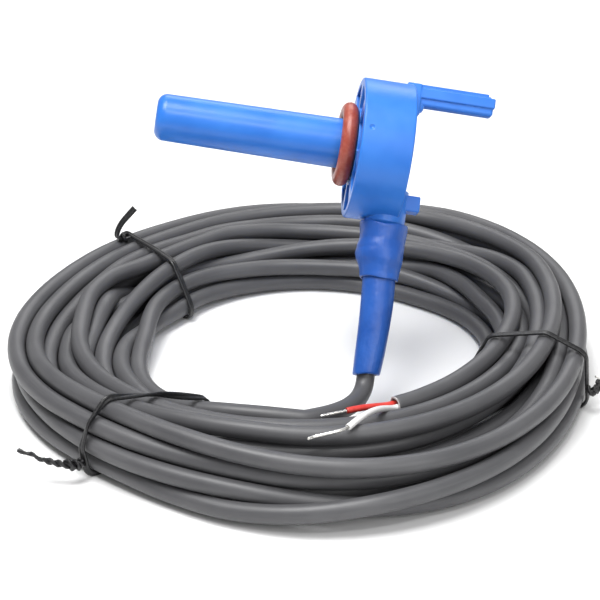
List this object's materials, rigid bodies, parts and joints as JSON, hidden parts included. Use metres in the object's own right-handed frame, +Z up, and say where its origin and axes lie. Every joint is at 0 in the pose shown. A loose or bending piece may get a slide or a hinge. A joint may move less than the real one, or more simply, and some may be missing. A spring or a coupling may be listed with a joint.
{
  "type": "insertion sensor with coiled lead",
  "caption": "Closed-stem insertion sensor with a sealing ring, cored clamp head and rear arm, on a long two-core lead coiled and tied, with stripped ends.",
  "frame": {"origin": "middle of the footprint of the whole object, on the floor that the coil lies on", "axes": "+Z up, the axis of the coil; -X the side that the stem points to; -Y the side where the cable's stripped end lies"},
  "size_m": [0.149, 0.1594, 0.074],
  "materials": {
    "blue_moulding": "satin moulded plastic",
    "blue_sleeve": "shrunk tubing, soft sheen",
    "red_rubber": "smooth silicone rubber",
    "grey_jacket": "satin PVC jacket",
    "black_tie": "satin plastic-covered wire",
    "tinned_wire": "bright tinned copper",
    "red_core": "smooth insulation",
    "white_core": "smooth insulation",
    "element_resin": "cast resin",
    "splice_tube": "shrunk tubing",
    "potting_resin": "cast resin"
  },
  "bodies": {
    "coil": {"cable_coil": "grey_jacket", "tie_left_rear": "black_tie", "tie_left_front": "black_tie", "tie_right": "black_tie", "tie_right_wire": "tinned_wire"},
    "lead": {"cable_lead": "grey_jacket"},
    "probe": {"probe_housing": "blue_moulding", "sensing_element": "element_resin", "element_lead_a": "tinned_wire", "element_lead_b": "tinned_wire", "splice_a": "splice_tube", "splice_b": "splice_tube", "inner_core_red": "red_core", "inner_core_white": "white_core", "potting": "potting_resin", "neck_sleeve": "blue_sleeve", "cable_sleeve": "blue_sleeve", "cable_tail": "grey_jacket"},
    "sealing_ring": {"o_ring": "red_rubber"},
    "red_core": {"red_insulation": "red_core", "red_conductor": "tinned_wire"},
    "white_core": {"white_insulation": "white_core", "white_conductor": "tinned_wire"}
  },
  "joints": [
    {"name": "lead_swing", "type": "hinge", "parent": "coil", "child": "lead", "pos_m": [-0.00152, -0.04195, 0.00846], "axis": [0, 0, 1], "range_deg": [-2, 9], "stiffness_Nm_per_rad": 0.4},
    {"name": "probe_lean", "type": "hinge", "parent": "lead", "child": "probe", "pos_m": [0.01453, -0.02343, 0.01009], "axis": [1, 0, 0], "range_deg": [-16, 13], "stiffness_Nm_per_rad": 0.4},
    {"name": "ring_slide", "type": "slide", "parent": "probe", "child": "sealing_ring", "axis": [-0.9868, -0.0138, 0.1616], "range_m": [0, 0.05]},
    {"name": "red_core_swing", "type": "hinge", "parent": "coil", "child": "red_core", "pos_m": [0.02026, -0.04067, 0.0124], "axis": [0, 0, 1], "range_deg": [-30, 0], "stiffness_Nm_per_rad": 0.01},
    {"name": "white_core_lift", "type": "hinge", "parent": "coil", "child": "white_core", "pos_m": [0.02106, -0.04237, 0.0124], "axis": [-0.4423, 0.8969, 0], "range_deg": [0, 30], "stiffness_Nm_per_rad": 0.01}
  ]
}
